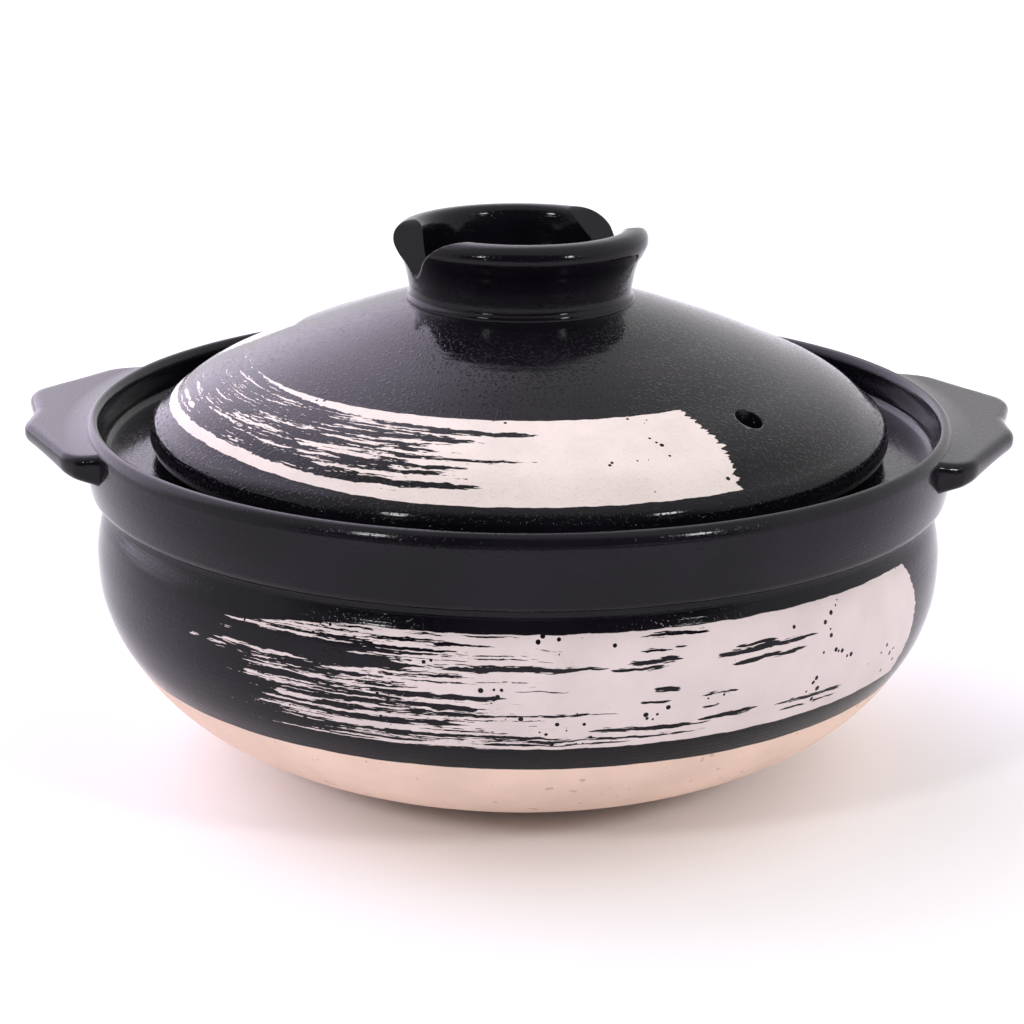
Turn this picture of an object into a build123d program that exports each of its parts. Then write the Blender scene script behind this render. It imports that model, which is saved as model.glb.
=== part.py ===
"""Donabe: a thrown earthenware hot pot with a loose domed lid.

Millimetres, +Z up. The origin is the centre of the foot ring, on the table; the two
lug handles lie on the X axis and the front of the pot faces -Y.

Five pieces of clay: the bowl, two lugs luted to its rim collar, the lid's dome, and
the ring knob luted on top of it. The lid only rests on the ledge inside the collar.
"""

import os

from build123d import *

os.makedirs("parts", exist_ok=True)

# Rim collar: the thick band round the top of the bowl.
rim_height = 108.5
collar_radius = 133.7
collar_taper = 1.1
collar_depth = 22.6
collar_edge_round = 3.4
collar_wall = 5.2
crest_inset = 2.9
crest_drop = 5.3
crest_shoulder_inset = 0.8
crest_shoulder_drop = 1.6
bore_drop = 3.4
bore_shoulder_inset = 0.7
bore_shoulder_drop = 1.0

# Ledge inside the collar, wide enough to catch what boils over.
ledge_drop = 12.0
ledge_corner = 2.4
ledge_width = 26.5
ledge_lip = 6.0
lip_round = 1.6

# Belly: the neck recess under the collar, the haunch below the widest line, the underside.
neck_recess = 5.8
crease = 1.7
haunch_inset = 7.4
haunch_height = 44.2
underside_inset = 40.8
underside_height = 12.0
# Rise over run of the underside where it leaves the foot ring.
underside_slope_share = 0.32
pot_wall = 8.0
# Where the ceiling under the ledge meets the wall, as a share of the upper arc of the belly.
ceiling_share = 0.79
# Where the wall turns into the flat floor, as a share of the underside's arc.
floor_turn_share = 0.30

# Foot ring, left as a low turned step.
foot_radius = 64.0
foot_width = 9.0
foot_recess = 2.5
foot_bevel = 1.4

# Flat part of the cooking floor.
floor_thickness = 7.5
floor_radius = 60.0

# Lug handles: flat slabs with two lobes and a shallow scallop between them.
lug_thickness = 7.0
lug_tip_drop = 2.0
lug_root_drop = 4.6
lug_root_depth = 15.5
lug_fairing = 14.0
lug_top_round = 2.4
lug_under_round = 2.8
# The most that either rounding may take of the slab's thickness.
lug_round_share = 0.42
lug_length = 21.3
lug_half_width = 56.0
# Corners of the plan from back to front, before rounding: distance out from the collar, as
# a share of the length, place along the rim, as a share of the half width, and rounding, as
# a share of the length.
lug_shares = (
    (-0.85, 1.018, 0.0),
    (0.014, 1.018, 0.56),
    (1.061, 0.384, 0.66),
    (0.800, 0.000, 0.94),
    (0.822, -0.295, 0.66),
    (-0.080, -0.929, 0.47),
    (-0.85, -0.929, 0.0),
)

# Lid: an even dome on a rounded edge, set in from the collar by the gallery.
gallery_width = 14.6
lid_gap = 0.3
lid_edge_height = 6.0
lid_seat_inset = 2.7
lid_rim_wall = 8.0
lid_rim_round = 1.6
lid_wall = 6.5
lid_rise = 44.8
# Where the dome's arcs meet, from the crown out: share of the radius, share of the rise.
lid_shares = ((0.307, 0.888), (0.830, 0.408), (0.977, 0.121))

# Steam hole, poked straight down through the dome.
steam_radius = 4.0
steam_inset = 22.2
steam_turn = 45.4
steam_round = 0.8

# Ring knob: a waisted wall under a thick rolled lip, open on top.
knob_rise = 17.7
knob_lip_radius = 38.7
knob_lip_drop = 4.3
knob_crest_inset = 4.5
knob_throat_inset = 1.0
knob_throat_drop = 7.6
knob_wall = 8.5
knob_bore_drop = 3.2
knob_waist_inset = 4.8
knob_waist_drop = 20.0
knob_foot_flare = 1.4
knob_foot_drop = 21.6
knob_root = 28.0

# Two opposed V notches cut through the ring, turned towards the left of the front.
notch_half_width = 18.7
notch_depth = 14.6
notch_point_round = 3.6
notch_shoulder_round = 8.0
notch_lift = 0.15
notch_turn = 63.5

# Where each turned surface closes on itself, round from the right-hand lug to the back.
seam_turn = 90.0

# How far the cutting forms run past what they cut.
overrun = 10.0

# Radii and heights that follow from the sizes above.
bore_radius = collar_radius - collar_wall
crest_radius = collar_radius - crest_inset
mouth_radius = bore_radius - ledge_width
neck_radius = collar_radius - collar_taper - neck_recess
underside_radius = collar_radius - underside_inset
lid_radius = bore_radius - gallery_width
steam_reach = lid_radius - steam_inset
knob_waist_radius = knob_lip_radius - knob_waist_inset
knob_bore_radius = knob_lip_radius - knob_wall
knob_foot_radius = knob_waist_radius + knob_foot_flare
ledge_height = rim_height - ledge_drop
collar_foot = rim_height - collar_depth
neck_height = collar_foot - crease
lid_foot = ledge_height + lid_gap
lid_edge = lid_foot + lid_edge_height
crown = lid_edge + lid_rise
knob_crest = crown + knob_rise

UP, DOWN = (0, 0, 1), (0, 0, -1)
OUT, IN = (1, 0, 0), (-1, 0, 0)
# The far end of a curve, for its point and its heading there.
END = 1


def at(radius, height):
    """A point of a profile: radius along X, height along Z."""
    return Vector(radius, 0, height)


def inset(curve, share, depth):
    """The point at a share of the curve's length, moved square to it by depth, to its left."""
    along = curve % share
    return curve @ share + Vector(-along.Z, 0, along.X) * depth


def arcs(start, heading, *points):
    """Arcs from start through the points, each leaving the last without a kink."""
    chain = []
    for point in points:
        arc = TangentArc(start, point, tangent=heading)
        chain.append(arc)
        start = point
        heading = arc % END
    return chain


def spun(*edges):
    """The solid that a closed profile sweeps round the pot's axis, its seam away from the lugs."""
    return Rot(0, 0, seam_turn) * revolve(make_face(list(edges)), Axis.Z)


def belly_arcs():
    """Outside of the bowl from the foot ring up to the neck: underside, haunch, shoulder."""
    return arcs(
        at(foot_radius + foot_bevel, foot_bevel),
        at(foot_radius, foot_radius * underside_slope_share),
        at(underside_radius, underside_height),
        at(collar_radius - haunch_inset, haunch_height),
        at(neck_radius, neck_height),
    )


def collar_outside(shoulder):
    """Edges of the collar's outside, from the neck up to the crest of the rim."""
    neck = shoulder @ END
    crease_end = at(neck_radius + crease, collar_foot)
    edge_end = at(collar_radius - collar_taper, collar_foot + collar_edge_round)
    edge_start = edge_end - at(collar_edge_round, collar_edge_round)
    widest = at(collar_radius, rim_height - crest_drop)
    crest = at(crest_radius, rim_height)
    crest_shoulder = at(collar_radius - crest_shoulder_inset, rim_height - crest_shoulder_drop)
    return [
        *arcs(neck, shoulder % END, crease_end),
        Line(crease_end, edge_start),
        *arcs(edge_start, OUT, edge_end),
        Line(edge_end, widest),
        *arcs(widest, UP, crest_shoulder, crest),
    ]


def bowl():
    """The thrown bowl: foot ring, belly, neck, collar and the ledge for the lid."""
    underside, haunch, shoulder = belly_arcs()
    outside = collar_outside(shoulder)
    foot_inner = foot_radius - foot_width
    hollow_edge = at(foot_inner - foot_bevel, foot_recess)
    crest = at(crest_radius, rim_height)
    bore_shoulder = at(bore_radius + bore_shoulder_inset, rim_height - bore_shoulder_drop)
    bore_top = at(bore_radius, rim_height - bore_drop)
    bore_foot = at(bore_radius, ledge_height + ledge_corner)
    ledge_outer = at(bore_radius - ledge_corner, ledge_height)
    ledge_inner = at(mouth_radius + lip_round, ledge_height)
    lip_top = at(mouth_radius, ledge_height - lip_round)
    lip_foot = at(mouth_radius, ledge_height - ledge_lip)
    lip_under = lip_foot + at(lip_round, -lip_round)
    wall_top = inset(shoulder, ceiling_share, pot_wall)
    floor_edge = at(floor_radius, foot_recess + floor_thickness)
    floor = at(0, foot_recess + floor_thickness)
    return spun(
        Line(at(0, foot_recess), hollow_edge),
        Line(hollow_edge, at(foot_inner, 0)),
        Line(at(foot_inner, 0), at(foot_radius, 0)),
        Line(at(foot_radius, 0), underside @ 0),
        underside,
        haunch,
        shoulder,
        *outside,
        *arcs(crest, outside[-1] % END, bore_shoulder, bore_top),
        Line(bore_top, bore_foot),
        *arcs(bore_foot, DOWN, ledge_outer),
        Line(ledge_outer, ledge_inner),
        *arcs(ledge_inner, IN, lip_top),
        Line(lip_top, lip_foot),
        *arcs(lip_foot, DOWN, lip_under),
        *arcs(lip_under, OUT, wall_top),
        *arcs(
            wall_top,
            -(shoulder % ceiling_share),
            inset(shoulder, 0, pot_wall),
            inset(haunch, 0, pot_wall),
            inset(underside, floor_turn_share, pot_wall),
            floor_edge,
        ),
        Line(floor_edge, floor),
        Line(floor, at(0, foot_recess)),
    )


def bowl_form():
    """The bowl's outer form, filled in: what a lug is shaped to fit against."""
    belly = belly_arcs()
    return spun(
        Line(at(0, foot_bevel), belly[0] @ 0),
        *belly,
        *collar_outside(belly[-1]),
        Line(at(crest_radius, rim_height), at(0, rim_height)),
        Line(at(0, rim_height), at(0, foot_bevel)),
    )


def lug_plan():
    """The lug seen from above: straight flanks, rounded shoulders and lobes, and the scallop."""
    corners = [Vector(collar_radius + lug_length * x, lug_half_width * y, 0) for x, y, _ in lug_shares]
    plan = make_face(Polyline(*corners, close=True))
    for corner, (_, _, rounding) in zip(corners, lug_shares):
        if rounding:
            nearest = min(plan.vertices(), key=lambda vertex: (Vector(vertex) - corner).length)
            plan = fillet(nearest, lug_length * rounding)
    return plan


def lug_rim(body, top):
    """Edges of the lug's rounded corners, above or below; a fillet on them runs all round."""
    below_top = rim_height - lug_root_drop
    corners = body.faces().filter_by(GeomType.CYLINDER)
    curves = [edge for face in corners for edge in face.edges() if edge.geom_type != GeomType.LINE]
    return [edge for edge in curves if (edge.center().Z > below_top) == top]


def lug():
    """The right lug: a flat slab, thickest where it runs down into the collar."""
    slab = extrude(lug_plan(), rim_height)
    inner = collar_radius - lug_length
    outer = collar_radius + lug_length + overrun
    root_top = at(inner, rim_height - lug_root_drop)
    tip_top = at(outer, rim_height - lug_tip_drop)
    tip_under = tip_top - at(0, lug_thickness)
    fairing = at(collar_radius + lug_fairing, tip_under.Z)
    root_under = at(crest_radius, rim_height - lug_root_depth)
    core = at(inner, root_under.Z)
    section = spun(
        Line(root_top, tip_top),
        Line(tip_top, tip_under),
        Line(tip_under, fairing),
        *arcs(fairing, IN, root_under),
        Line(root_under, core),
        Line(core, root_top),
    )
    body = slab & section
    widest_round = lug_thickness * lug_round_share
    body = fillet(lug_rim(body, top=True), min(lug_top_round, widest_round))
    return fillet(lug_rim(body, top=False), min(lug_under_round, widest_round))


def dome_arcs():
    """Outside of the lid from its crown down to its widest line."""
    meets = [at(lid_radius * r, lid_edge + lid_rise * z) for r, z in lid_shares]
    return arcs(at(0, crown), OUT, *meets, at(lid_radius, lid_edge))


def dome():
    """The lid's dome with its rounded edge, resting just off the ledge, and the steam hole."""
    crown_arc, brow, shoulder, edge = dome_arcs()
    rim_inner = lid_radius - lid_rim_wall
    seat = at(lid_radius - lid_seat_inset, lid_foot)
    rim_edge = at(rim_inner + lid_rim_round, lid_foot)
    rim_top = at(rim_inner, lid_foot + lid_rim_round)
    wall_foot = inset(shoulder, END, -lid_wall)
    ceiling = at(0, crown - lid_wall)
    shell = spun(
        crown_arc,
        brow,
        shoulder,
        edge,
        *arcs(edge @ END, DOWN, seat),
        Line(seat, rim_edge),
        *arcs(rim_edge, IN, rim_top),
        Line(rim_top, wall_foot),
        *arcs(
            wall_foot,
            -(shoulder % END),
            inset(brow, END, -lid_wall),
            inset(brow, 0, -lid_wall),
            ceiling,
        ),
        Line(ceiling, at(0, crown)),
    )
    drill = Pos(0, -steam_reach, 0) * Cylinder(steam_radius, crown + crown)
    bored = shell - Rot(0, 0, steam_turn) * drill
    bore = bored.faces().filter_by(GeomType.CYLINDER).sort_by(SortBy.AREA)[0]
    mouth = bore.edges().filter_by(GeomType.LINE, reverse=True).sort_by(Axis.Z)[-1]
    return fillet(mouth, steam_round)


def dome_form():
    """The lid's outer form, filled in: what the knob is shaped to fit against."""
    outside = dome_arcs()
    return spun(*outside, Line(outside[-1] @ END, at(0, lid_edge)), Line(at(0, lid_edge), at(0, crown)))


def notch_cutter():
    """A V with a rounded point and rounded shoulders, run right across the knob."""
    brow = knob_crest + notch_lift
    side = knob_lip_radius + overrun
    sky = brow + overrun
    outline = Polyline(
        at(-side, sky),
        at(-side, brow),
        at(-notch_half_width, brow),
        at(0, knob_crest - notch_depth),
        at(notch_half_width, brow),
        at(side, brow),
        at(side, sky),
        close=True,
    )
    face = make_face(outline)
    point = face.vertices().sort_by(Axis.Z)[0]
    face = fillet(point, notch_point_round)
    shoulders = [v for v in face.vertices() if abs(abs(v.X) - notch_half_width) < notch_lift]
    face = fillet(shoulders, notch_shoulder_round)
    return Rot(0, 0, -notch_turn) * extrude(face, side, both=True)


def knob():
    """The ring knob, hollow like a small cup, seated on the dome and notched on two sides."""
    foot_top = at(knob_foot_radius, knob_crest - knob_foot_drop)
    waist = at(knob_waist_radius, knob_crest - knob_waist_drop)
    throat = at(knob_lip_radius - knob_throat_inset, knob_crest - knob_throat_drop)
    lip = at(knob_lip_radius, knob_crest - knob_lip_drop)
    crest = at(knob_lip_radius - knob_crest_inset, knob_crest)
    bore_top = at(knob_bore_radius, knob_crest - knob_bore_drop)
    root_outer = at(knob_foot_radius, knob_crest - knob_root)
    root_inner = at(knob_bore_radius, knob_crest - knob_root)
    ring = spun(
        Line(root_outer, foot_top),
        *arcs(foot_top, IN, waist),
        *arcs(waist, UP, throat, lip, crest, bore_top),
        Line(bore_top, root_inner),
        Line(root_inner, root_outer),
    )
    return ring - dome_form() - notch_cutter()


pot_bowl = bowl()
handle_right = lug() - bowl_form()
handle_left = mirror(handle_right, Plane.YZ)
lid_dome = dome()
lid_knob = knob()

export_step(pot_bowl, "parts/pot_bowl.step")
export_step(handle_right, "parts/handle_right.step")
export_step(handle_left, "parts/handle_left.step")
export_step(lid_dome, "parts/lid_dome.step")
export_step(lid_knob, "parts/lid_knob.step")
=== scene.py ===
import math

import bpy
from mathutils import Matrix, Vector


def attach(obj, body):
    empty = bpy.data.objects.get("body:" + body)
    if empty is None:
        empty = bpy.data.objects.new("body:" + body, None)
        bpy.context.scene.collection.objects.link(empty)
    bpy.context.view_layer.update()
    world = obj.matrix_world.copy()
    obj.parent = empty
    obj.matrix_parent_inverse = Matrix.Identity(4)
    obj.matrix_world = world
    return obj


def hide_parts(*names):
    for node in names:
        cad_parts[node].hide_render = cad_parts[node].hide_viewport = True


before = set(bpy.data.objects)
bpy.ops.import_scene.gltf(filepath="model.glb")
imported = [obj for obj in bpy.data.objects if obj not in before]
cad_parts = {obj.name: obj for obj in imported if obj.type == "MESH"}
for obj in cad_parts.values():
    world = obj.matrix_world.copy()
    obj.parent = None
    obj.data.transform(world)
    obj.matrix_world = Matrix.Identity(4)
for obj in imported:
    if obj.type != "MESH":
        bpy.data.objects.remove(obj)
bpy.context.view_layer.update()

# Picture and light.
# A donabe alone on a pale floor, under a white sky that is dark in front. A bright window
# back left and two small soft boxes in front lay pale sheets and glints on the black glaze.
MM = 0.001
CAMERA_PLACE = (0, -0.7656, 0.3115)
CAMERA_PITCH = math.radians(17.272)
CAMERA_ROLL = math.radians(0.51)
CAMERA_LENS = 89.67
CAMERA_SHIFT = -0.00635
FLOOR_HALF = 30.0
PAPER = (0.96, 0.96, 0.962, 1.0)
PAPER_ROUGHNESS = 0.9
SKY = (1.0, 0.975, 1.0, 1.0)
SKY_IN_FRONT = (0.07, 0.065, 0.08, 1.0)
SKY_FRONT_EDGE = (-0.3, -0.7)
SKY_STRENGTH = 1.15
WINDOW = (2.5, 2.25, 2.8, 1.0)
WINDOW_TOWARD = (-0.62, 0.62, 0.48)
WINDOW_EDGE = (0.70, 0.93)
BOX_SIZE = (0.16, 0.22)
BOX_WATTS = 4.8
BOX_PLACES = {"left": (-0.80, -1.05, 0.80), "right": (0.95, -0.90, 0.80)}
BOX_TARGET = (0, 0, 0.08)


class Nodes:
    """Short calls for making and joining nodes in one tree."""

    def __init__(self, tree):
        self.tree = tree

    def add(self, kind, inputs=None, **settings):
        node = self.tree.nodes.new(kind)
        for key, value in settings.items():
            setattr(node, key, value)
        for key, value in (inputs or {}).items():
            self.put(node.inputs[key], value)
        return node

    def put(self, socket, value):
        if isinstance(value, bpy.types.NodeSocket):
            self.tree.links.new(value, socket)
        else:
            socket.default_value = value

    def math(self, operation, *values, clamp=False):
        node = self.add("ShaderNodeMath", operation=operation, use_clamp=clamp)
        for socket, value in zip(node.inputs, values):
            self.put(socket, value)
        return node.outputs[0]

    def plus(self, first, second, clamp=False):
        return self.math("ADD", first, second, clamp=clamp)

    def minus(self, first, second):
        return self.math("SUBTRACT", first, second)

    def times(self, first, second):
        return self.math("MULTIPLY", first, second)

    def apart(self, first, second):
        return self.math("ABSOLUTE", self.minus(first, second))

    def hypot(self, x, y):
        return self.math("SQRT", self.plus(self.math("POWER", x, 2.0), self.math("POWER", y, 2.0)))

    def ramp(self, value, low, high, start=0.0, end=1.0):
        """value's way from low to high, as a soft step from start to end."""
        inputs = {"Value": value, "From Min": low, "From Max": high, "To Min": start, "To Max": end}
        return self.add("ShaderNodeMapRange", inputs, interpolation_type="SMOOTHSTEP").outputs[0]

    def mix(self, share, first, second):
        """Two numbers mixed."""
        inputs = {"Factor": share, "A": first, "B": second}
        return self.add("ShaderNodeMix", inputs, data_type="FLOAT").outputs["Result"]

    def blend(self, share, first, second):
        """Two colours mixed."""
        node = self.add("ShaderNodeMix", data_type="RGBA")
        for place, value in ((0, share), (6, first), (7, second)):
            self.put(node.inputs[place], value)
        return node.outputs[2]

    def point(self, x, y, z):
        return self.add("ShaderNodeCombineXYZ", {"X": x, "Y": y, "Z": z}).outputs[0]

    def noise(self, vector, scale=1.0, detail=3.0, roughness=0.55):
        inputs = {"Vector": vector, "Scale": scale, "Detail": detail, "Roughness": roughness}
        return self.add("ShaderNodeTexNoise", inputs).outputs["Fac"]


def into_scene(name, data):
    """A new object with this data, linked to the scene."""
    made = bpy.data.objects.new(name, data)
    bpy.context.collection.objects.link(made)
    return made


camera_data = bpy.data.cameras.new("camera")
camera_data.lens = CAMERA_LENS
camera_data.shift_x = CAMERA_SHIFT
camera = into_scene("camera", camera_data)
tilt = Matrix.Rotation(math.radians(90) - CAMERA_PITCH, 4, "X")
roll = Matrix.Rotation(CAMERA_ROLL, 4, "Z")
camera.matrix_world = Matrix.Translation(CAMERA_PLACE) @ (tilt @ roll)
bpy.context.scene.camera = camera
bpy.context.scene.view_settings.view_transform = "Standard"

floor_mesh = bpy.data.meshes.new("floor")
ways = ((-1, -1), (1, -1), (1, 1), (-1, 1))
floor_corners = [(x * FLOOR_HALF, y * FLOOR_HALF, 0) for x, y in ways]
floor_mesh.from_pydata(floor_corners, [], [(0, 1, 2, 3)])
floor = into_scene("floor", floor_mesh)
paper = bpy.data.materials.new("paper")
paper.use_nodes = True
paper_shader = paper.node_tree.nodes["Principled BSDF"]
paper_shader.inputs["Base Color"].default_value = PAPER
paper_shader.inputs["Roughness"].default_value = PAPER_ROUGHNESS
floor_mesh.materials.append(paper)

world = bpy.data.worlds.new("studio")
world.use_nodes = True
bpy.context.scene.world = world
sky = Nodes(world.node_tree)
toward = sky.add("ShaderNodeTexCoord").outputs["Generated"]
back = sky.add("ShaderNodeSeparateXYZ", {0: toward}).outputs["Y"]
sky_colour = sky.blend(sky.ramp(back, *SKY_FRONT_EDGE), SKY, SKY_IN_FRONT)
facing = sky.add("ShaderNodeVectorMath", {0: toward, 1: WINDOW_TOWARD}, operation="DOT_PRODUCT")
sky_colour = sky.blend(sky.ramp(facing.outputs["Value"], *WINDOW_EDGE), sky_colour, WINDOW)
background = world.node_tree.nodes["Background"]
sky.put(background.inputs["Color"], sky_colour)
background.inputs["Strength"].default_value = SKY_STRENGTH

for side, place in BOX_PLACES.items():
    light = bpy.data.lights.new("box_" + side, "AREA")
    light.shape = "RECTANGLE"
    light.size, light.size_y = BOX_SIZE
    light.energy = BOX_WATTS
    box = into_scene("box_" + side, light)
    box.location = place
    aim = Vector(BOX_TARGET) - Vector(place)
    box.rotation_euler = aim.to_track_quat("-Z", "Y").to_euler()

# Bowl.
# The stoneware bowl, thrown on a wheel down to its foot ring: near-black gloss glaze with
# pinholes, bare pinkish clay under the belly, and one dry brush stroke of pale slip.
SLICES = 320
BOWL_STATIONS = 300
RING_PITCH = 0.0042
RING_DEPTH = 0.00008
RING_LEAN = 0.12
RING_CLIMB = 1.7
UNEVEN_PITCH = 0.06
UNEVEN_DEPTH = 0.0002
WELD = 0.00001
GLAZE = (0.0035, 0.003, 0.0045, 1.0)
GLAZE_LIT = (0.008, 0.007, 0.010, 1.0)
GLAZE_REFLECTION = 0.17
GLAZE_ROUGHNESS = 0.07
GLAZE_CLOUDING = 0.06
PITS_SCALE = 330.0
PIT_LARGEST = 0.26
PIT_DEPTH = 0.5
GRIT_SCALE = 1100.0
GRIT = 0.12
SKIN_SCALE = 420.0
SKIN = 0.10
TURNING_LINES = 0.3
RELIEF = 0.0006
RELIEF_STRENGTH = 0.35
POT_SLIP = (0.70, 0.605, 0.585, 1.0)
SLIP_SHADE = 0.90
SLIP_ROUGHNESS = 0.34
CLAY = (0.84, 0.63, 0.52, 1.0)
CLAY_SPECK = (0.42, 0.27, 0.20, 1.0)
CLAY_SHADE = 0.88
CLAY_ROUGHNESS = 0.85
GLAZE_THICKNESS = 0.3
# Each wave of the bristles: its share, then waves along a degree and across a millimetre.
BRISTLE_WAVES = ((0.50, 0.045, 0.28), (0.80, 0.085, 1.15), (0.35, 0.8, 2.3))
BRISTLE_SWING = 1.7
BRISTLE_EDGE = 0.02
GLAZE_LINE = 38.0
POT_STROKE_FOOT = 45.6
POT_STROKE_TOP = 79.2
POT_STROKE_END = 62.0
POT_STROKE_SEED = 4.0
POT_MIDDLE_OF_WALL = 124.6
BOWL_FLOOR = 9.0
BOWL_CURVE_REACH = 116.0
BOWL_CURVE_RISE = 27.0
INTO_THE_WALL = 3.5
# Steps of wetness: from and to in degrees from the front, and how wet before and after.
POT_WETNESS = ((-48.0, -30.0, 0.0, 0.40), (-30.0, 2.0, 0.0, 0.26), (-4.0, 24.0, 0.0, 0.75))
# Rows of a streak: height in mm, half width in mm, start and end in degrees from the front.
POT_GAPS = (
    (76.1, 0.4, -23, 2), (77.5, 0.5, 12, 27), (73.9, 0.3, 12, 23), (71.0, 0.7, 11, 22),
    (69.2, 0.6, 9, 20), (72.4, 1.3, -44, -12), (69.7, 1.9, -46, -6), (69.8, 0.8, -14, 16),
    (70.3, 0.8, 20, 43), (71.8, 0.4, 25, 35), (67.2, 0.6, 23, 42), (65.8, 0.6, -36, -11),
    (61.9, 0.8, -18, 2), (62.4, 0.6, 15, 21), (59.4, 0.5, 21, 29), (58.9, 0.5, -30, 3),
    (58.4, 1.1, -12, -3), (59.2, 0.3, 13, 20), (56.6, 0.4, -30, 21), (55.9, 0.3, 22, 26),
    (53.2, 0.8, -27, -2), (51.2, 0.7, 4, 28), (52.2, 0.7, 20, 33), (51.4, 0.5, 30, 50),
    (49.6, 0.6, -32, 15), (48.6, 0.35, -12, 33), (49.1, 0.3, 31, 49), (47.2, 0.35, -14, 20),
)
POT_DRY_LINES = (
    (74.6, 0.4, -43, -20), (76.4, 0.35, -40, -12), (67.9, 0.45, -44, -22), (66.4, 0.3, -47, -36),
    (63.6, 0.4, -40, -12), (60.3, 0.4, -38, -26), (56.8, 0.7, -33, -22), (54.8, 0.35, -36, -18),
    (51.6, 0.4, -33, -8), (50.6, 0.3, -20, 12), (78.4, 0.35, -24, 2), (46.3, 0.3, -14, 40),
)
# Profiles: radius and height in mm, from the axis out and back to it.
BOWL_PROFILE = (
    (0, 2.5, "corner"), (53.6, 2.5, "corner"), (55.0, 0, "corner"), (64.0, 0, "corner"),
    (65.4, 1.4, "corner"), (80.2, 6.6), (100.5, 16.2), (112.2, 25.1), (121.7, 36.5),
    (128.5, 49.6), (130.9, 63.5), (129.7, 75.8), (126.8, 84.2), (127.1, 85.5), (128.5, 85.9),
    (129.6, 85.95), (131.8, 86.9), (132.6, 89.3), (133.6, 103.2), (132.9, 106.7),
    (130.8, 108.5), (129.1, 107.3), (128.5, 105.1), (128.5, 98.9), (127.8, 97.2), (126.1, 96.5),
    (103.6, 96.5), (102.5, 96.0), (102.0, 94.9), (102.0, 90.5), (102.5, 89.4), (103.6, 88.9),
    (113.5, 85.8), (120.3, 77.4), (122.9, 62.7), (120.6, 50.9), (114.9, 40.7), (107.2, 31.4),
    (96.9, 23.3), (77.6, 13.8), (52.0, 10.0), (0, 10.0, "corner"),
)


def wheel_group():
    """Geometry Nodes: turns a profile curve round the Z axis, with the rings fingers leave."""
    tree = bpy.data.node_groups.new("wheel", "GeometryNodeTree")
    face = tree.interface
    face.new_socket("Geometry", in_out="INPUT", socket_type="NodeSocketGeometry")
    for name, kind, value in (
        ("Slices", "NodeSocketInt", SLICES),
        ("Stations", "NodeSocketInt", BOWL_STATIONS),
        ("Ring depth", "NodeSocketFloat", RING_DEPTH),
        ("Ring pitch", "NodeSocketFloat", RING_PITCH),
        ("Uneven", "NodeSocketFloat", UNEVEN_DEPTH),
        ("Seed", "NodeSocketFloat", 0.0),
        ("Clay", "NodeSocketMaterial", None),
    ):
        socket = face.new_socket(name, in_out="INPUT", socket_type=kind)
        if value is not None:
            socket.default_value = value
    face.new_socket("Geometry", in_out="OUTPUT", socket_type="NodeSocketGeometry")
    n = Nodes(tree)
    given = n.add("NodeGroupInput").outputs
    columns = {"Vertices X": n.plus(given["Slices"], 1.0), "Vertices Y": given["Stations"]}
    grid = n.add("GeometryNodeMeshGrid", {"Size X": 1.0, "Size Y": 1.0, **columns})
    spot = n.add("ShaderNodeSeparateXYZ", {0: n.add("GeometryNodeInputPosition").outputs[0]})
    turn = n.times(n.plus(spot.outputs["X"], 0.5), 2 * math.pi)
    station = n.plus(spot.outputs["Y"], 0.5, clamp=True)
    sample = n.add(
        "GeometryNodeSampleCurve",
        {"Curves": given["Geometry"], "Factor": station},
        mode="FACTOR",
        use_all_curves=True,
    )
    drawn = n.add("ShaderNodeSeparateXYZ", {0: sample.outputs["Position"]})
    radius = n.math("MAXIMUM", drawn.outputs["X"], 0.0)
    place = n.point(
        n.times(radius, n.math("COSINE", turn)),
        n.times(radius, n.math("SINE", turn)),
        drawn.outputs["Z"],
    )
    turned = n.add("GeometryNodeSetPosition", {"Geometry": grid.outputs["Mesh"], "Position": place})
    closed = n.add("GeometryNodeMergeByDistance", {"Geometry": turned.outputs[0], "Distance": WELD})
    position = n.add("GeometryNodeInputPosition").outputs[0]
    x, y, z = n.add("ShaderNodeSeparateXYZ", {0: position}).outputs
    climb = n.plus(n.hypot(x, y), n.times(z, RING_CLIMB))
    across = n.times(climb, n.math("DIVIDE", 1.0, given["Ring pitch"]))
    lean = n.times(n.math("ARCTAN2", y, x), RING_LEAN)
    rings = n.noise(n.point(across, lean, given["Seed"]), detail=2.0)
    uneven = n.noise(position, 1 / UNEVEN_PITCH, 1.0)
    depth = n.plus(
        n.times(n.minus(rings, 1.0), given["Ring depth"]),
        n.times(n.minus(uneven, 1.0), given["Uneven"]),
    )
    outward = n.add("GeometryNodeInputNormal").outputs[0]
    push = n.add("ShaderNodeVectorMath", {0: outward, "Scale": depth}, operation="SCALE").outputs[0]
    shaped = n.add("GeometryNodeSetPosition", {"Geometry": closed.outputs[0], "Offset": push})
    smooth = n.add("GeometryNodeSetShadeSmooth", {"Geometry": shaped.outputs[0]})
    finish = {"Geometry": smooth.outputs[0], "Material": given["Clay"]}
    n.put(n.add("NodeGroupOutput").inputs[0], n.add("GeometryNodeSetMaterial", finish).outputs[0])
    return tree


wheel = wheel_group()


def profile_curve(name, points):
    """A curve through the points; "corner" points are sharp, others round."""
    curve = bpy.data.curves.new(name, "CURVE")
    curve.dimensions = "3D"
    curve.resolution_u = 16
    spline = curve.splines.new("BEZIER")
    spline.bezier_points.add(len(points) - 1)
    for knot, (radius, height, *corner) in zip(spline.bezier_points, points):
        knot.co = (radius * MM, 0, height * MM)
        knot.handle_left_type = knot.handle_right_type = "VECTOR" if corner else "AUTO"
    return curve


def settled_mesh(piece):
    """The piece's mesh with all that its modifiers do to it."""
    seen = piece.evaluated_get(bpy.context.evaluated_depsgraph_get())
    return bpy.data.meshes.new_from_object(seen)


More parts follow.
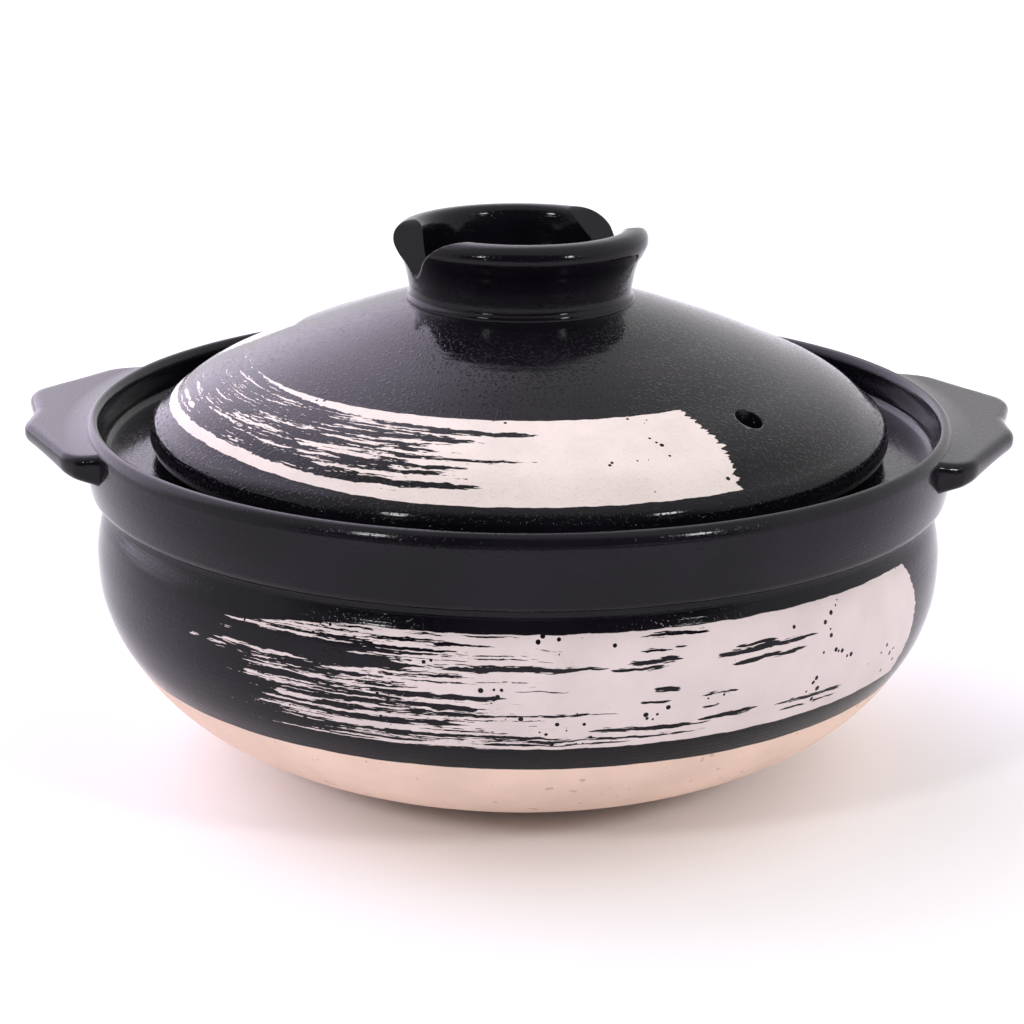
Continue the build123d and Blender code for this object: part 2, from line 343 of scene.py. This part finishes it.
def turn_piece(name, points, clay, **settings):
    """The finished mesh object of a profile turned on the wheel."""
    drawn = into_scene(name + "_profile", profile_curve(name + "_profile", points))
    modifier = drawn.modifiers.new("wheel", "NODES")
    modifier.node_group = wheel
    settings["Clay"] = clay
    for item in wheel.interface.items_tree:
        if item.in_out == "INPUT" and item.name in settings:
            modifier[item.identifier] = settings[item.name]
    mesh = settled_mesh(drawn)
    mesh.name = name
    bpy.data.objects.remove(drawn)
    return into_scene(name, mesh)


def wetness(n, turn, steps):
    """How wet the brush is along its stroke: the sum of soft steps."""
    wet = n.ramp(turn, *steps[0])
    for step in steps[1:]:
        wet = n.plus(wet, n.ramp(turn, *step))
    return wet


def bristles(n, along, across, wet, seed):
    """Where a dry brush leaves slip, along in degrees and across in mm: wet 1 is solid."""
    level = 0.5
    for share, along_scale, across_scale in BRISTLE_WAVES:
        spot = n.point(n.times(along, along_scale), n.times(across, across_scale), seed)
        swing = n.times(n.minus(n.noise(spot, detail=2.5), 0.5), BRISTLE_SWING * share)
        level = n.plus(level, swing)
    return n.ramp(n.minus(n.plus(level, wet), 1.0), -BRISTLE_EDGE, BRISTLE_EDGE)


def streaks(n, along, across, rows):
    """The long marks of a split brush, which drift and break a little."""
    drift = n.noise(n.point(n.times(along, 0.07), n.times(across, 0.06), 0.0), detail=1.0)
    across = n.plus(across, n.times(n.minus(drift, 0.5), 2.4))
    breaks = n.noise(n.point(n.times(along, 0.3), n.times(across, 1.5), 6.0))
    outside = 9.0
    for place, half_width, start, end in rows:
        aside = n.apart(across, place)
        length = (end - start) / 2
        off = n.apart(along, start + length)
        reach = n.ramp(off, length, length * 0.35, -0.9, half_width + 0.1)
        outside = n.math("MINIMUM", outside, n.minus(aside, reach))
    nearness = n.minus(n.ramp(breaks, 0.30, 0.64, -0.55, 0.25), outside)
    return n.ramp(nearness, 0.0, 0.12)


def shaded(colour, share):
    return [part * share for part in colour[:3]] + [1.0]


def finish_clay(
    name,
    slip=None,
    paint=None,
    bare=None,
    roughness=GLAZE_ROUGHNESS,
    grit=GRIT,
    rings=TURNING_LINES,
):
    """A glazed clay material. paint and bare give masks from the piece's own place."""
    material = bpy.data.materials.new(name)
    material.use_nodes = True
    n = Nodes(material.node_tree)
    shader = material.node_tree.nodes["Principled BSDF"]
    where = n.add("ShaderNodeTexCoord").outputs["Object"]
    spot = n.add("ShaderNodeSeparateXYZ", {0: where})
    x, y, z = (n.math("DIVIDE", out, MM) for out in spot.outputs)
    reach = n.hypot(x, y)
    turn = n.times(n.math("ARCTAN2", x, n.times(y, -1.0)), 180 / math.pi)
    climb = n.plus(reach, n.times(z, RING_CLIMB))
    lines = n.noise(n.point(climb, n.times(turn, 0.02), 0.0), 0.9)
    skin = n.noise(where, SKIN_SCALE, 2.0)
    cloud = n.noise(where, 26.0)
    pits = n.add("ShaderNodeTexVoronoi", {"Vector": where, "Scale": PITS_SCALE, "Randomness": 1.0})
    pit_size = n.ramp(n.noise(where, 75.0, 1.0), 0.52, 0.72, 0.0, PIT_LARGEST)
    pit = n.math("LESS_THAN", pits.outputs["Distance"], pit_size)
    colour = n.blend(n.ramp(cloud, 0.35, 0.75), GLAZE, GLAZE_LIT)
    rough = n.ramp(cloud, 0.3, 0.8, roughness, roughness + GLAZE_CLOUDING)
    height = n.plus(n.times(lines, rings), n.times(skin, SKIN))
    specks = n.ramp(n.noise(where, GRIT_SCALE, 1.5), 0.56, 0.70)
    height = n.plus(height, n.times(specks, grit))
    height = n.minus(height, n.times(pit, PIT_DEPTH))
    if paint:
        mask = paint(n, turn, reach, z)
        mask = n.times(mask, n.minus(1.0, pit))
        mottle = n.ramp(n.noise(where, 60.0, 4.0), 0.3, 0.75)
        colour = n.blend(mask, colour, n.blend(mottle, slip, shaded(slip, SLIP_SHADE)))
        rough = n.mix(mask, rough, SLIP_ROUGHNESS)
    if bare:
        open_clay = bare(n, turn, reach, z)
        speck = n.math("LESS_THAN", n.noise(where, 260.0, 1.0), 0.27)
        mottle = n.ramp(n.noise(where, 35.0, 4.0), 0.3, 0.7)
        earth = n.blend(mottle, CLAY, shaded(CLAY, CLAY_SHADE))
        earth = n.blend(n.times(speck, 0.5), earth, CLAY_SPECK)
        colour = n.blend(open_clay, colour, earth)
        rough = n.mix(open_clay, rough, CLAY_ROUGHNESS)
        height = n.minus(height, n.times(open_clay, GLAZE_THICKNESS))
    relief = {"Strength": RELIEF_STRENGTH, "Distance": RELIEF, "Height": height}
    bump = n.add("ShaderNodeBump", relief)
    shader.inputs["Specular IOR Level"].default_value = GLAZE_REFLECTION
    n.put(shader.inputs["Base Color"], colour)
    n.put(shader.inputs["Roughness"], rough)
    n.put(shader.inputs["Normal"], bump.outputs[0])
    return material


def pot_paint(n, turn, reach, z):
    """The belly's stroke: full at the right, split into streaks and dry lines to the left."""
    waver = n.minus(n.noise(n.point(n.times(turn, 0.3), 3.0, 0.0)), 0.5)
    z = n.plus(z, n.times(waver, 1.3))
    mask = bristles(n, turn, z, wetness(n, turn, POT_WETNESS), POT_STROKE_SEED)
    mask = n.times(mask, n.minus(1.0, streaks(n, turn, z, POT_GAPS)))
    mask = n.math("MAXIMUM", mask, streaks(n, turn, z, POT_DRY_LINES))
    top = n.minus(POT_STROKE_TOP, n.ramp(turn, -18.0, -46.0, 0.0, 5.5))
    above_foot = n.ramp(n.minus(z, POT_STROKE_FOOT), 0.0, 0.2)
    inside = n.times(above_foot, n.ramp(n.minus(top, z), 0.0, 0.2))
    ragged = n.times(n.noise(n.point(1.0, n.times(z, 0.5), 0.0)), 2.0)
    middle = (POT_STROKE_TOP + POT_STROKE_FOOT) / 2
    bow = n.times(n.math("POWER", n.minus(z, middle), 2.0), 0.011)
    end = n.minus(n.plus(POT_STROKE_END, ragged), bow)
    inside = n.times(inside, n.ramp(n.minus(end, turn), 0.0, 0.25))
    outer_side = n.math("GREATER_THAN", reach, POT_MIDDLE_OF_WALL)
    return n.times(n.times(inside, mask), outer_side)


def pot_bare(n, turn, reach, z):
    """Below the wavering glaze line, outside the bowl only."""
    waver = n.times(n.noise(n.point(n.times(turn, 0.09), 0.0, 0.0)), 1.2)
    line = n.plus(GLAZE_LINE - 0.6, waver)
    below = n.ramp(n.minus(line, z), -0.15, 0.15)
    share = n.math("POWER", n.math("DIVIDE", reach, BOWL_CURVE_REACH), 4.0)
    inner_skin = n.plus(BOWL_FLOOR, n.times(share, BOWL_CURVE_RISE))
    outside = n.math("LESS_THAN", z, n.minus(inner_skin, INTO_THE_WALL))
    return n.times(below, outside)


pot_glaze = finish_clay("pot_glaze", POT_SLIP, pot_paint, pot_bare)
bowl = turn_piece("bowl", BOWL_PROFILE, pot_glaze, Stations=BOWL_STATIONS, Seed=1.0)
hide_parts("pot_bowl")
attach(bowl, "pot")

# Lugs.
# Two flat slabs of the same clay, luted to the collar, smoothed into it with a wet finger
# and dipped in the same glaze, so their edges are soft.
COLLAR_RADIUS = 133.7
LUG_VOXEL = 0.0007
LUG_SMOOTHING = 6
LUG_FLARE = 0.09
LUG_FLARE_REACH = 11.0
LUG_BLEND = 6.0
LUG_ROOT = 3.6
LUG_RISE = 1.6
LUG_MIDDLE = 103.5
LUG_ROUGHNESS = 0.05
FAINT_LINES = 0.15

plain_glaze = finish_clay("plain_glaze", roughness=LUG_ROUGHNESS, rings=FAINT_LINES)
for side in ("left", "right"):
    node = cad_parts["handle_" + side]
    lug = into_scene("lug_" + side, node.data.copy())
    grain = lug.modifiers.new("grain", "REMESH")
    grain.mode = "VOXEL"
    grain.voxel_size = LUG_VOXEL
    soft = lug.modifiers.new("soft", "SMOOTH")
    soft.iterations = LUG_SMOOTHING
    mesh = settled_mesh(lug)
    lug.modifiers.clear()
    lug.data = mesh
    for v in mesh.vertices:
        out = math.hypot(v.co.x, v.co.y) / MM - COLLAR_RADIUS
        near = min(max(1 - out / LUG_FLARE_REACH, 0), 1)
        v.co.y *= 1 + LUG_FLARE * near**2
        near = min(max(1 - out / LUG_BLEND, 0), 1)
        if v.co.z > LUG_MIDDLE * MM:
            v.co.z += LUG_RISE * MM * near**2
        shrink = 1 - LUG_ROOT * near**2 * (3 - 2 * near) / (out + COLLAR_RADIUS)
        v.co.x *= shrink
        v.co.y *= shrink
    mesh.materials.clear()
    mesh.materials.append(plain_glaze)
    for polygon in mesh.polygons:
        polygon.use_smooth = True
    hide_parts("handle_" + side)
    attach(lug, "pot")

# Lid.
# The thrown domed lid, loose on the bowl's ledge, glazed all over, with a rolled edge and
# a steam hole. Its wide stroke starts at the left as two thin tracks and ends ragged.
LID_SLIP = (0.78, 0.69, 0.64, 1.0)
LID_GRIT = 0.6
LID_STATIONS = 260
STEAM_RADIUS = 4.0
STEAM_REACH = 91.7
STEAM_TURN = math.radians(45.4)
STEAM_FOOT = 100
STEAM_TOP = 140
STEAM_CORNERS = 64
LID_STROKE_FOOT = 110.6
LID_STROKE_TOP = 82.6
LID_STROKE_END = 34.4
LID_STROKE_SEED = 9.0
LID_WETNESS = ((-100.0, -66.0, 0.15, 0.34), (-42.0, -10.0, 0.0, 0.28), (-14.0, 8.0, 0.0, 1.0))
BACK_STROKE_TOP = 69.8
BACK_STROKE_FOOT = 94.9
BACK_STROKE_START = -96.8
BACK_STROKE_DRYING = (-106.0, -156.0, 0.22, 0.72)
MIDDLE_OF_LID = 124.0
MIDDLE_OF_LID_SLOPE = 0.643
MIDDLE_OF_LID_TOP = 126.5
LID_GAPS = (
    (86.9, 0.7, -32, -14), (88.3, 0.9, -24, 9), (90.2, 1.0, -50, -16), (91.8, 1.0, -40, 0),
    (94.6, 0.9, -60, -22), (98.4, 0.5, -34, 11), (96.2, 0.5, -40, -6), (101.2, 0.7, -44, 1),
    (103.0, 0.6, -40, -3), (104.6, 0.6, -50, -12), (106.0, 0.8, -40, 2),
)
LID_DRY_LINES = (
    (102.6, 0.5, -88, -66), (99.0, 0.4, -86, -70), (97.6, 0.5, -64, -38), (94.4, 0.4, -58, -30),
    (101.9, 0.4, -52, -24), (99.7, 0.5, -46, -16), (95.4, 0.4, -40, -18), (104.2, 0.4, -38, -14),
    (90.9, 0.3, -40, -22),
)
LID_PROFILE = (
    (0, 141.1, "corner"), (17.1, 140.0), (36.0, 135.6), (54.5, 129.8), (75.5, 121.6),
    (93.3, 114.2), (103.3, 106.6), (105.9, 98.4), (106.3, 97.3), (107.5, 96.8), (110.6, 96.8),
    (112.0, 98.1), (113.4, 100.2), (113.9, 102.8), (112.9, 106.9), (109.7, 109.8),
    (101.1, 116.9), (81.3, 126.3), (60.8, 134.4), (35.0, 142.6), (15.7, 146.5),
    (0, 147.6, "corner"),
)


def lid_paint(n, turn, reach, z):
    """The lid's stroke between two circles, and a second one behind that runs out dry."""
    waver = n.minus(n.noise(n.point(n.times(turn, 0.3), 7.0, 0.0)), 0.5)
    reach = n.plus(reach, n.times(waver, 1.0))
    foot = n.minus(LID_STROKE_FOOT, n.ramp(turn, -12.0, -62.0, 0.0, 3.0))
    from_foot = n.minus(foot, reach)
    from_top = n.minus(reach, LID_STROKE_TOP)
    mask = bristles(n, turn, reach, wetness(n, turn, LID_WETNESS), LID_STROKE_SEED)
    mask = n.times(mask, n.minus(1.0, streaks(n, turn, reach, LID_GAPS)))
    mask = n.math("MAXIMUM", mask, streaks(n, turn, reach, LID_DRY_LINES))
    torn = n.noise(n.point(n.times(turn, 0.5), 1.0, 5.0), detail=4.0)
    outer_track = n.plus(1.9, n.times(torn, 1.6))
    inner_track = n.plus(n.ramp(turn, -84.0, -12.0, -1.2, 3.2), n.times(torn, 2.0))
    for track, off in ((outer_track, from_foot), (inner_track, from_top)):
        mask = n.math("MAXIMUM", mask, n.ramp(n.minus(track, off), 0.0, 0.15))
    inside = n.times(n.ramp(from_foot, 0.0, 0.15), n.ramp(from_top, 0.0, 0.15))
    teeth = n.noise(n.point(2.0, n.times(reach, 0.85), 0.0), detail=2.0)
    slant = n.times(n.apart(reach, 98.0), 0.13)
    end = n.minus(n.plus(LID_STROKE_END - 1.2, n.times(teeth, 4.4)), slant)
    inside = n.times(inside, n.ramp(n.minus(end, turn), 0.0, 0.2))
    mask = n.times(n.times(inside, mask), n.ramp(turn, -104.0, -94.0))
    tail = n.noise(n.point(n.times(turn, 0.05), n.times(reach, 1.1), 3.0), detail=2.0)
    dryness = n.ramp(turn, *BACK_STROKE_DRYING)
    behind = n.ramp(n.minus(tail, dryness), -BRISTLE_EDGE, BRISTLE_EDGE)
    start = n.plus(turn, n.times(teeth, 4.4))
    behind = n.times(behind, n.ramp(start, BACK_STROKE_START, BACK_STROKE_START - 0.5))
    edge = n.minus(reach, n.times(torn, 2.4))
    below_top = n.ramp(edge, BACK_STROKE_TOP, BACK_STROKE_TOP + 0.4)
    above_foot = n.ramp(edge, BACK_STROKE_FOOT, BACK_STROKE_FOOT - 0.4)
    behind = n.times(behind, n.times(below_top, above_foot))
    fall = n.times(n.minus(reach, LID_STROKE_TOP), MIDDLE_OF_LID_SLOPE)
    middle = n.math("MINIMUM", n.minus(MIDDLE_OF_LID, fall), MIDDLE_OF_LID_TOP)
    outer_side = n.math("GREATER_THAN", z, middle)
    return n.times(n.math("MAXIMUM", mask, behind), outer_side)


def cutter(name, foot, top, clay):
    """A closed bar between two like outlines, in the piece's glaze, so the cut is glazed."""
    count = len(foot)
    sides = [[k, (k + 1) % count, count + (k + 1) % count, count + k] for k in range(count)]
    ends = [list(range(count))[::-1], list(range(count, 2 * count))]
    mesh = bpy.data.meshes.new(name)
    mesh.from_pydata(foot + top, [], sides + ends)
    mesh.materials.append(clay)
    return into_scene(name, mesh)


def cut(piece, bar):
    """Takes the bar's form out of the piece and drops the bar."""
    knife = piece.modifiers.new("cut", "BOOLEAN")
    knife.operation = "DIFFERENCE"
    knife.solver = "EXACT"
    knife.object = bar
    mesh = settled_mesh(piece)
    piece.modifiers.clear()
    piece.data = mesh
    bpy.data.objects.remove(bar)


def steam_ring(height):
    """The steam hole's outline at a height in mm."""
    x = STEAM_REACH * MM * math.sin(STEAM_TURN)
    y = -STEAM_REACH * MM * math.cos(STEAM_TURN)
    radius = STEAM_RADIUS * MM
    angles = [2 * math.pi * k / STEAM_CORNERS for k in range(STEAM_CORNERS)]
    return [(x + radius * math.cos(a), y + radius * math.sin(a), height * MM) for a in angles]


lid_glaze = finish_clay("lid_glaze", LID_SLIP, lid_paint, grit=LID_GRIT)
lid = turn_piece("lid", LID_PROFILE, lid_glaze, Stations=LID_STATIONS, Seed=5.0)
cut(lid, cutter("steam_cutter", steam_ring(STEAM_FOOT), steam_ring(STEAM_TOP), lid_glaze))
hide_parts("lid_dome")
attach(lid, "lid")

# Knob.
# A thick ring of the same clay with a rolled lip, luted on the lid's crown, cut with two
# opposed V notches and glazed with it.
KNOB_CREST = 165.3
KNOB_STATIONS = 150
NOTCH_WIDTH = 37.4
NOTCH_DEPTH = 14.6
NOTCH_TURN = math.radians(63.5)
NOTCH_LIFT = 0.15
NOTCH_SPAN = 60
NOTCH_SKY = 20
SHOULDER_ROUND = 8.0
POINT_ROUND = 3.6
ARC_STEPS = 12
KNOB_PROFILE = (
    (30.2, 142.5, "corner"), (30.2, 162.1), (31.3, 164.2), (34.2, 165.0), (37.5, 163.7),
    (38.7, 161.0), (37.7, 157.7), (36.0, 154.7), (34.2, 147.7), (34.0, 145.2), (34.2, 144.2),
    (34.8, 143.5), (34.9, 141.2, "corner"), (30.2, 142.5, "corner"),
)


def arc_points(centre, radius, start, end):
    """Points on an arc, angles in radians."""
    angles = [start + (end - start) * k / ARC_STEPS for k in range(ARC_STEPS + 1)]
    return [(centre[0] + radius * math.cos(a), centre[1] + radius * math.sin(a)) for a in angles]


def notch_outline():
    """The V in mm, rounded at its point and shoulders: x across the notch, then height."""
    half_width = NOTCH_WIDTH / 2
    brow = KNOB_CREST + NOTCH_LIFT
    point = KNOB_CREST - NOTCH_DEPTH
    slope = math.atan2(brow - point, half_width)
    shoulder_middle = (half_width + SHOULDER_ROUND * math.tan(slope / 2), brow - SHOULDER_ROUND)
    shoulder = arc_points(shoulder_middle, SHOULDER_ROUND, math.pi / 2, math.pi / 2 + slope)
    tip_middle = (0, point + POINT_ROUND / math.cos(slope))
    tip = arc_points(tip_middle, POINT_ROUND, -math.pi / 2, -math.pi / 2 + slope)
    right = [(NOTCH_SPAN, brow + NOTCH_SKY), (NOTCH_SPAN, brow)] + shoulder + tip[::-1]
    return right + [(-x, z) for x, z in right[-2::-1]]


knob = turn_piece("knob", KNOB_PROFILE, plain_glaze, Stations=KNOB_STATIONS, Seed=8.0)
notch_front = [(x * MM, -NOTCH_SPAN * MM, z * MM) for x, z in notch_outline()]
notch_back = [(x * MM, NOTCH_SPAN * MM, z * MM) for x, z in notch_outline()]
notches = cutter("notch_cutter", notch_front, notch_back, plain_glaze)
notches.data.transform(Matrix.Rotation(-NOTCH_TURN, 4, "Z"))
cut(knob, notches)
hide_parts("lid_knob")
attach(knob, "lid")
